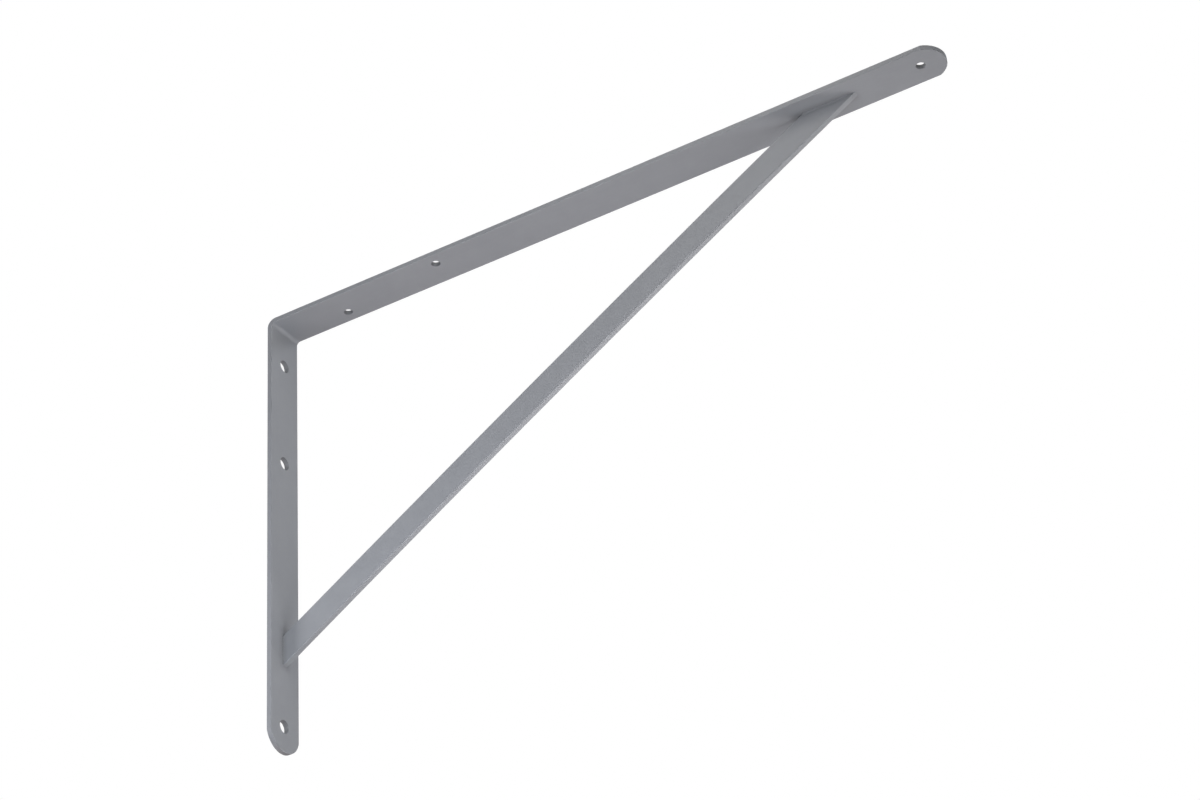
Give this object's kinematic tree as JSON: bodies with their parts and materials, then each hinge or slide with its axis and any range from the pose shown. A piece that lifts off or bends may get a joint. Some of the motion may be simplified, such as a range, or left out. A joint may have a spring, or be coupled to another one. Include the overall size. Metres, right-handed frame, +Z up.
{
  "type": "gallows shelf bracket",
  "caption": "Welded flat-bar gallows bracket: a right-angled strap with rounded ends and screw holes, stiffened by a diagonal brace on edge.",
  "frame": {"origin": "outer corner of the bracket, where the wall plane, the shelf plane and the middle of the bar's width meet", "axes": "+X out from the wall along the shelf arm, +Z up, Y across the bar; the wall arm hangs down from the origin"},
  "size_m": [0.6, 0.035, 0.3845],
  "materials": {
    "strap_paint": "satin silver-grey paint on steel flat bar",
    "brace_paint": "satin silver-grey paint on steel flat bar",
    "weld_paint": "the same paint over small weld seams"
  },
  "bodies": {
    "root": {"strap": "strap_paint", "diagonal_brace": "brace_paint", "lower_weld_left": "weld_paint", "lower_weld_right": "weld_paint", "upper_weld_left": "weld_paint", "upper_weld_right": "weld_paint"}
  },
  "joints": []
}
